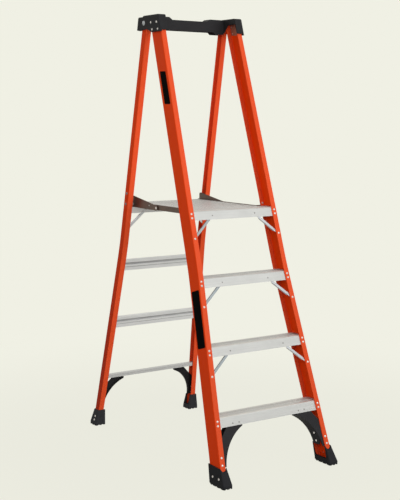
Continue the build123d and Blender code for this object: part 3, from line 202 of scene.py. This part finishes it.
# Roughness, and what marks add to it
RAIL_ROUGH = 0.34
RAIL_CLOUD_ROUGH = 0.12
RAIL_RUB_ROUGH = 0.16
FIBRE_ROUGH = 0.06
ALUMINIUM_ROUGH = 0.44
STAIN_ROUGH = 0.14
LINE_ROUGH = 0.06
SCUFF_ROUGH = 0.10
TROD_ROUGH = -0.16
PLATING_ROUGH = 0.16
NICK_ROUGH = 0.1
MOULDED_ROUGH = 0.42
BOOT_ROUGH = 0.52
MOULD_CLOUD_ROUGH = 0.16
MOULD_RUB_ROUGH = 0.08
FILM_ROUGH = 0.28
FILM_CLOUD_ROUGH = 0.14
FILM_RUB_ROUGH = 0.1

# Specular levels and metal
RAIL_SHINE = 0.045
MOULDED_SHINE = 0.05
FILM_SHINE = 0.005
ALUMINIUM_METAL = 0.5

# Relief of the finishes: strength and height
FIBRE_RELIEF = (0.12, 0.0004)
LINE_RELIEF = (0.14, 0.0003)
ROLLED_RELIEF = (0.10, 0.0003)
MOULD_RELIEF = (0.16, 0.0003)
MOULD_GRAIN_SHARE = 0.5
RIPPLE_RELIEF = (0.06, 0.0003)

# A face comes to count as looking along an axis between these values of its normal
UPWARD = (0.6, 0.8)
FORWARD = (0.6, 0.85)

# Sockets of the Mix node for colours
MIX_FROM = 6
MIX_TO = 7
MIX_RESULT = 2


class Value:
    """A socket of a node tree. Arithmetic on it adds Math nodes."""

    def __init__(self, nodes, socket):
        self.nodes = nodes
        self.socket = socket

    def math(self, operation, one, other, clamp=False):
        return self.nodes.add("Math", {0: one, 1: other}, operation=operation, use_clamp=clamp)

    def __add__(self, other):
        return self.math("ADD", self, other)

    def __sub__(self, other):
        return self.math("SUBTRACT", self, other)

    def __rsub__(self, other):
        return self.math("SUBTRACT", other, self)

    def __mul__(self, other):
        return self.math("MULTIPLY", self, other)

    __radd__ = __add__
    __rmul__ = __mul__

    def clamped(self):
        return self.math("ADD", self, 0.0, clamp=True)


class Nodes:
    """A node tree whose nodes all come from one method, add."""

    def __init__(self, tree):
        self.tree = tree

    def add(self, kind, inputs, out=0, stops=None, **settings):
        """Adds a node: its settings and a ramp's grey stops, then the values or links of its sockets."""
        node = self.tree.nodes.new("ShaderNode" + kind)
        for name, value in settings.items():
            setattr(node, name, value)
        if stops:
            for element, (position, grey) in zip(node.color_ramp.elements, stops):
                element.position = position
                element.color = (grey, grey, grey, 1.0)
        self.feed(node, inputs)
        return Value(self, node.outputs[out])

    def feed(self, node, inputs):
        for key, value in inputs.items():
            socket = node.inputs[key]
            if isinstance(value, Value):
                self.tree.links.new(value.socket, socket)
            elif socket.type == "RGBA":
                socket.default_value = (*value, 1.0)
            else:
                socket.default_value = value

    def looked_at(self):
        """1 for the camera and for mirror images, 0 for the light that a surface sheds."""
        camera, glossy, through = [self.add("LightPath", {}, out=f"Is {kind} Ray")
                                   for kind in ("Camera", "Glossy", "Transmission")]
        return (camera + glossy + through).clamped()


class Finish(Nodes):
    """A material built round a Principled shader."""

    def __init__(self, name):
        self.material = bpy.data.materials.new(name)
        self.material.use_nodes = True
        super().__init__(self.material.node_tree)
        self.surface = self.tree.nodes["Principled BSDF"]
        self.place = self.add("TexCoord", {}, out="Object")

    def stretched(self, scale, lean):
        """Coordinates scaled along the axes, or across and along a rail that leans."""
        place = self.place
        if lean:
            place = self.add("Mapping", {"Vector": place, "Rotation": (radians(lean), 0, 0)})
        return self.add("Mapping", {"Vector": place, "Scale": scale})

    def noise(self, detail, rough, scale=1.0, stretch=None, lean=0.0):
        """Cloudy pattern, even or stretched, and turned with a rail that leans."""
        place = self.stretched(stretch, lean) if stretch else self.place
        inputs = {"Vector": place, "Scale": scale, "Detail": detail, "Roughness": rough}
        return self.add("TexNoise", inputs, out="Fac")

    def ramp(self, value, low, high):
        """0 up to the low value, 1 from the high one."""
        return self.add("ValToRGB", {"Fac": value}, out="Color", stops=((low, 0.0), (high, 1.0)))

    def mix(self, share, one, other):
        """Colour between two colours."""
        inputs = {"Factor": share, MIX_FROM: one, MIX_TO: other}
        return self.add("Mix", inputs, out=MIX_RESULT, data_type="RGBA")

    def part_of(self, vector, axis):
        return self.add("SeparateXYZ", {"Vector": vector}, out=axis)

    def normal(self, axis):
        """How far a face looks along an axis of the open ladder."""
        return self.part_of(self.add("TexCoord", {}, out="Normal"), axis)

    def facing_up(self):
        """1 on faces that look up, 0 on the others."""
        return self.ramp(self.normal("Z"), *UPWARD)

    def on_flange(self):
        """1 on faces that look to the front or the rear, 0 on the others."""
        return self.ramp(self.add("Math", {0: self.normal("Y")}, operation="ABSOLUTE"), *FORWARD)

    def climb(self, low, high):
        """0 up to one height, 1 from another."""
        height = self.part_of(self.place, "Z")
        return self.add("MapRange", {"Value": height, "From Min": low, "From Max": high})

    def band(self, axis, low, high):
        """1 between two places along an axis, 0 outside."""
        along = self.part_of(self.place, axis)
        return self.add("Math", {0: along, 1: (low + high) / 2, 2: (high - low) / 2}, operation="COMPARE")

    def bump(self, height, strength, distance):
        return self.add("Bump", {"Height": height, "Strength": strength, "Distance": distance}, out="Normal")

    def shade(self, inputs):
        """Feeds the surface's sockets and gives the finished material."""
        self.feed(self.surface, inputs)
        return self.material


def glass_fibre(name, lean, webs, flanges):
    """Pultruded rail: faint long fibres under a satin skin, paler flanges as painted sheen, painted shade
    low down and fine rubs.
    """
    finish = Finish(name)
    fibres = finish.noise(**RAIL_FIBRES, lean=lean)
    bands = finish.noise(**RAIL_BANDS, lean=lean)
    cloud = finish.noise(**RAIL_CLOUD)
    rubs = finish.ramp(finish.noise(**RAIL_RUBS, lean=lean), *RAIL_RUB_EDGE)
    # Painted shade: the rails darken towards the floor, varied by random bands
    by_height = finish.climb(RAIL_SHADE_LOW, RAIL_SHADE_HIGH)
    by_band = finish.ramp(bands, *RAIL_BAND_EDGE)
    lit_share = by_height * (1 - RAIL_BAND_SHARE) + by_band * RAIL_BAND_SHARE
    # Paler flange colours: painted sheen
    tone = finish.mix(finish.on_flange(), finish.mix(lit_share, *webs), finish.mix(lit_share, *flanges))
    tone = finish.mix((fibres - FIBRE_LEVEL).clamped() * FIBRE_SHOW, tone, ORANGE_PALE)
    tone = finish.mix(rubs * RAIL_RUB_SHOW, tone, ORANGE_PALE)
    rough = RAIL_ROUGH + cloud * RAIL_CLOUD_ROUGH + rubs * RAIL_RUB_ROUGH + fibres * FIBRE_ROUGH
    return finish.shade({"Base Color": tone, "Roughness": rough, "Specular IOR Level": RAIL_SHINE,
                         "Normal": finish.bump(fibres, *FIBRE_RELIEF)})


def extruded_aluminium(name, pale, dark, trodden=False, dark_line=None, grooves=()):
    """Mill-finished extrusion: draw lines along X, stains, scuffs, painted shade in the grooves, a dark
    line, and wear with painted light where feet tread.
    """
    finish = Finish(name)
    lines = finish.noise(**DRAW_LINES)
    bands = finish.noise(**DRAW_BANDS)
    stains = finish.noise(**STAINS)
    scuffs = finish.ramp(finish.noise(**SCUFFS), *SCUFF_EDGE)
    tone = finish.mix(finish.ramp(lines, *LINE_EDGE), dark, pale)
    tone = finish.mix(finish.ramp(bands, *BAND_EDGE) * BAND_SHOW, tone, dark)
    tone = finish.mix(finish.ramp(stains, *STAIN_EDGE) * STAIN_SHOW, tone, dark)
    rough = ALUMINIUM_ROUGH + stains * STAIN_ROUGH + lines * LINE_ROUGH + scuffs * SCUFF_ROUGH
    if trodden:
        # Trodden tops: wear, and painted light on faces that look up
        upper = finish.facing_up()
        worn_and_lit = (upper * (TROD_SHOW + stains * TROD_STAIN_SHOW)).clamped()
        tone = finish.mix(worn_and_lit, tone, TREAD_WORN_LIT)
        tone = finish.mix(upper * finish.ramp(bands, *BAND_GRIME_EDGE) * BAND_GRIME_SHOW, tone, DARK_TREAD_TONE)
        rough = rough + upper * TROD_ROUGH
        scuffs = scuffs * TROD_SCUFF_SHARE
        # A dark line along each tread's top, forward of its rear edge
        if dark_line:
            tone = finish.mix(upper * finish.band("Y", *dark_line) * DARK_LINE_SHOW, tone, DARK_TREAD_TONE)
    # Painted shade in the grooves, deeper on stains
    for low, high in grooves:
        groove_shade = (GROOVE_SHOW + stains * GROOVE_STAIN_SHOW).clamped()
        tone = finish.mix(finish.band("Z", low, high) * groove_shade, tone, GROOVE_SHADE)
    tone = finish.mix(scuffs * SCUFF_SHOW, tone, dark)
    return finish.shade({"Base Color": tone, "Metallic": ALUMINIUM_METAL, "Roughness": rough,
                         "Normal": finish.bump(lines, *LINE_RELIEF)})


def rolled_steel(name, colour, dark, metal, rough):
    """Plated or painted sheet steel: cloudy plating, a fine grain and small nicks."""
    finish = Finish(name)
    cloud = finish.noise(**PLATING_CLOUD)
    grain = finish.noise(**ROLLED_GRAIN)
    nicks = finish.ramp(finish.noise(**NICKS), *NICK_EDGE)
    tone = finish.mix(finish.ramp(cloud, *PLATING_EDGE), dark, colour)
    tone = finish.mix(nicks * NICK_SHOW, tone, dark)
    return finish.shade({"Base Color": tone, "Metallic": metal,
                         "Roughness": rough + cloud * PLATING_ROUGH + nicks * NICK_ROUGH,
                         "Normal": finish.bump(grain, *ROLLED_RELIEF)})


def moulded_plastic(name, colour, worn, rough):
    """Filled nylon or rubber: a fine spark-eroded grain, pale rubs and dust."""
    finish = Finish(name)
    pits = finish.add("TexVoronoi", {"Vector": finish.place, "Scale": MOULD_PITS}, out="Distance")
    grain = finish.noise(**MOULD_GRAIN)
    cloud = finish.noise(**MOULD_CLOUD)
    rubs = finish.ramp(finish.noise(**MOULD_RUBS), *MOULD_RUB_EDGE)
    tone = finish.mix(finish.ramp(cloud, *MOULD_CLOUD_EDGE) * MOULD_CLOUD_SHOW, colour, worn)
    tone = finish.mix(rubs * MOULD_RUB_SHOW, tone, worn)
    return finish.shade({"Base Color": tone, "Specular IOR Level": MOULDED_SHINE,
                         "Roughness": rough + cloud * MOULD_CLOUD_ROUGH + rubs * MOULD_RUB_ROUGH,
                         "Normal": finish.bump(pits + grain * MOULD_GRAIN_SHARE, *MOULD_RELIEF)})


def label_film(name):
    """Satin black film, with the faint ripple of a sticker on fibres."""
    finish = Finish(name)
    ripple = finish.noise(**FILM_RIPPLE, lean=FRONT_LEAN)
    cloud = finish.noise(**FILM_CLOUD)
    rubs = finish.ramp(finish.noise(**FILM_RUBS, lean=FRONT_LEAN), *FILM_RUB_EDGE)
    tone = finish.mix(finish.ramp(cloud, *FILM_CLOUD_EDGE) * FILM_CLOUD_SHOW, FILM, BLACK)
    tone = finish.mix(rubs * FILM_RUB_SHOW, tone, BLACK_WORN)
    return finish.shade({"Base Color": tone, "Specular IOR Level": FILM_SHINE,
                         "Roughness": FILM_ROUGH + cloud * FILM_CLOUD_ROUGH + rubs * FILM_RUB_ROUGH,
                         "Normal": finish.bump(ripple, *RIPPLE_RELIEF)})


def slot_finishes():
    """Finishes by the material slot that the record names."""
    return {
        "rail_orange": glass_fibre("front_rail_fibre", FRONT_LEAN, FRONT_WEBS, FRONT_FLANGES),
        "moulded_black": moulded_plastic("moulded_black", BLACK, BLACK_WORN, MOULDED_ROUGH),
        "boot_black": moulded_plastic("boot_black", BOOT, BOOT_WORN, BOOT_ROUGH),
        "aluminium": extruded_aluminium("tread_aluminium", ALUMINIUM, ALUMINIUM_DARK, trodden=True),
        "bronze_steel": rolled_steel("bronze_steel", BRONZE, BRONZE_DARK, metal=0.45, rough=0.28),
        "zinc_steel": rolled_steel("zinc_steel", ZINC, ZINC_DARK, metal=0.6, rough=0.42),
        "rivet_steel": rolled_steel("rivet_steel", STEEL, STEEL_DARK, metal=0.7, rough=0.36)}


def own_finishes(zinc_steel):
    """Finishes of the pieces that look unlike the rest of their slot, by node."""
    # The rear rails' own colours: deeper painted shade low on the webs, more painted light on the flanges
    rear_fibre = glass_fibre("rear_rail_fibre", REAR_LEAN, REAR_WEBS, REAR_FLANGES)
    # Rear boots: a paler black, painted light against their shade
    rear_boot = moulded_plastic("rear_boot_black", REAR_BOOT, BOOT_WORN, BOOT_ROUGH)
    plate_steel = rolled_steel("plate_steel", PLATE, PLATE_DARK, metal=0.4, rough=0.45)
    # Rest bar braces: a paler zinc, painted light against their shade
    pale_zinc = rolled_steel("pale_zinc", PALE_ZINC, PALE_ZINC_DARK, metal=0.3, rough=0.42)
    # Left step braces: a darker zinc, painted shade
    shaded_zinc = rolled_steel("shaded_zinc", SHADED_ZINC, SHADED_ZINC_DARK, metal=0.6, rough=0.46)
    dull_steel = rolled_steel("dull_steel", DULL_STEEL, DULL_STEEL_DARK, metal=0.5, rough=0.45)
    # The lowest cross bar: a darker copy of the bar finish, painted shade
    own = {"cross_bar_1": extruded_aluminium("low_bar_aluminium", LOW_BAR, LOW_BAR_DARK),
           "rest_bar": extruded_aluminium("rest_bar_aluminium", BAR, BAR_DARK),
           "rear_pivot_bolts": zinc_steel}
    for side in ("left", "right"):
        own[f"rear_rail_{side}"] = rear_fibre
        own[f"rear_boot_{side}"] = rear_boot
        own[f"back_plate_{side}"] = plate_steel
        own[f"rest_bar_brace_{side}"] = pale_zinc
    for name in ("step_2_brace_left", "step_3_brace_left", "platform_brace_left"):
        own[name] = shaded_zinc
    for name in ("fascia_rivets", "web_bolts", "arm_pivot_pins"):
        own[name] = dull_steel
    for name in ("cross_bar_2", "cross_bar_3"):
        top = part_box(name)[1][2]
        grooves = [(top - far, top - near) for near, far in (WIDE_GROOVE, FINE_GROOVE)]
        own[name] = extruded_aluminium(f"{name}_aluminium", BAR, BAR_DARK, grooves=grooves)
    near, far = TREAD_DARK_LINE
    for name in ("step_1", "step_2", "step_3", "platform_step"):
        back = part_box(name)[1][1]
        dark_line = (back - far, back - near)
        own[name] = extruded_aluminium(f"{name}_aluminium", ALUMINIUM, ALUMINIUM_DARK,
                                       trodden=True, dark_line=dark_line)
    return own


def dress():
    """Gives every CAD node its finish."""
    by_slot = slot_finishes()
    by_node = own_finishes(by_slot["zinc_steel"])
    for part in frame["record"]["subparts"]:
        node = frame["nodes"][part["node"]]
        node.data.materials.clear()
        node.data.materials.append(by_node.get(part["node"], by_slot[part["material_slot"]]))


def on_left_web(depth, way):
    """Point on the left front rail's outer face, that deep behind its front and that far up the slope."""
    lean = radians(FRONT_LEAN)
    station = way * cos(lean)
    if station < BEND_HEIGHT:
        narrowing = (HALF_FLOOR - HALF_BEND) / BEND_HEIGHT
    else:
        narrowing = (HALF_BEND - HALF_TOP) / (TOP_HEIGHT - BEND_HEIGHT)
    half = HALF_BEND + (BEND_HEIGHT - station) * narrowing
    height = station - depth * sin(lean)
    return Vector((-half, FRONT_START + height * tan(lean) + depth / cos(lean), height))


def way_up(height, depth):
    """How far up the slope a point of the rail lies, from its height and its depth behind the front."""
    lean = radians(FRONT_LEAN)
    return height / cos(lean) + depth * tan(lean)


def placed(name, shape, material):
    """Object in the scene, made of a bmesh that is then freed."""
    mesh = bpy.data.meshes.new(name)
    shape.to_mesh(mesh)
    shape.free()
    mesh.materials.append(material)
    piece = bpy.data.objects.new(name, mesh)
    bpy.context.scene.collection.objects.link(piece)
    return piece


def film(name, corners, material):
    """Blank sticker with round corners, from its corners as depth and way up the slope."""
    shape = bmesh.new()
    ring = [shape.verts.new(on_left_web(depth, way)) for depth, way in corners]
    shape.faces.new(ring)
    bmesh.ops.bevel(shape, geom=ring, offset=FILM_CORNER, offset_type="OFFSET", affect="VERTICES",
                    segments=FILM_CORNER_SEGMENTS, profile=0.5, material=-1)
    out = bmesh.ops.extrude_face_region(shape, geom=shape.faces[:])["geom"]
    raised = [item for item in out if isinstance(item, bmesh.types.BMVert)]
    bmesh.ops.translate(shape, verts=raised, vec=(-FILM_THICK, 0, 0))
    bmesh.ops.recalc_face_normals(shape, faces=shape.faces[:])
    piece = placed(name, shape, material)
    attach(piece, "front_section")


def add_films():
    """The upper film has level ends, the lower one square ends."""
    material = label_film("label_film")
    near, far = UPPER_FILM_DEPTHS
    low, high = UPPER_FILM_HEIGHTS
    level = ((near, low), (near, high), (far, high), (far, low))
    film("upper_film", [(depth, way_up(height, depth)) for depth, height in level], material)
    near, far = LOWER_FILM_DEPTHS
    low, high = LOWER_FILM_WAYS
    film("lower_film", [(near, low), (near, high), (far, high), (far, low)], material)


def floor_paper():
    """Pale paper that keeps a faint shadow near the ladder and runs into the backdrop."""
    finish = Finish("floor_paper")
    finish.shade({"Base Color": FLOOR, "Roughness": FLOOR_ROUGH, "Specular IOR Level": 0.0})
    glow = finish.add("Emission", {"Color": BACKDROP, "Strength": BACKDROP_GLOW})
    away = finish.add("VectorMath", {0: finish.place}, out="Value", operation="LENGTH")
    limits = {"From Min": FLOOR_FADE_START, "From Max": FLOOR_FADE_END,
              "To Min": 1 - FLOOR_SHADOW, "To Max": 1.0}
    fade = finish.add("MapRange", {"Value": away, **limits}, interpolation_type="SMOOTHSTEP")
    own = Value(finish, finish.surface.outputs[0])
    blend = finish.add("MixShader", {0: fade * finish.looked_at(), 1: own, 2: glow})
    finish.feed(finish.tree.nodes["Material Output"], {"Surface": blend})
    return finish.material


def studio_floor():
    """Wide flat sheet under the ladder."""
    shape = bmesh.new()
    bmesh.ops.create_grid(shape, x_segments=1, y_segments=1, size=FLOOR_HALF)
    floor = placed("studio_floor", shape, floor_paper())


def studio_world():
    """Even soft light; eyes and mirror images see the pale backdrop."""
    world = bpy.data.worlds.new("studio")
    bpy.context.scene.world = world
    world.use_nodes = True
    nodes = Nodes(world.node_tree)
    fill = nodes.add("Background", {"Color": FILL, "Strength": FILL_STRENGTH})
    seen = nodes.add("Background", {"Color": BACKDROP, "Strength": BACKDROP_GLOW})
    mixed = nodes.add("MixShader", {0: nodes.looked_at(), 1: fill, 2: seen})
    nodes.feed(world.node_tree.nodes["World Output"], {"Surface": mixed})


def soft_lamp(name, place, target, width, power):
    """Round area lamp, turned to its target."""
    lamp = bpy.data.lights.new(name, "AREA")
    lamp.shape = "DISK"
    lamp.size = width
    lamp.energy = power
    holder = bpy.data.objects.new(name, lamp)
    bpy.context.scene.collection.objects.link(holder)
    holder.location = place
    holder.rotation_euler = (Vector(target) - Vector(place)).to_track_quat("-Z", "Y").to_euler()


def photo_camera():
    """Camera with the photograph's view."""
    yaw, pitch, roll = [radians(angle) for angle in (CAMERA_YAW, CAMERA_PITCH, CAMERA_ROLL)]
    ahead = Vector((sin(yaw) * cos(pitch), cos(yaw) * cos(pitch), sin(pitch)))
    level = Vector((cos(yaw), -sin(yaw), 0))
    above = level.cross(ahead)
    right = level * cos(roll) + above * sin(roll)
    up = above * cos(roll) - level * sin(roll)
    lens = bpy.data.cameras.new("photo_camera")
    lens.sensor_fit = "VERTICAL"
    lens.sensor_height = SENSOR
    lens.lens = CAMERA_LENS
    camera = bpy.data.objects.new("photo_camera", lens)
    bpy.context.scene.collection.objects.link(camera)
    turn = Matrix((right, up, -ahead)).transposed()
    camera.matrix_world = Matrix.Translation(CAMERA_PLACE) @ turn.to_4x4()
    bpy.context.scene.camera = camera


dress()
add_films()
studio_floor()
studio_world()
for lamp_name, lamp_values in LAMPS.items():
    soft_lamp(lamp_name, *lamp_values)
photo_camera()
bpy.context.scene.view_settings.view_transform = "Standard"
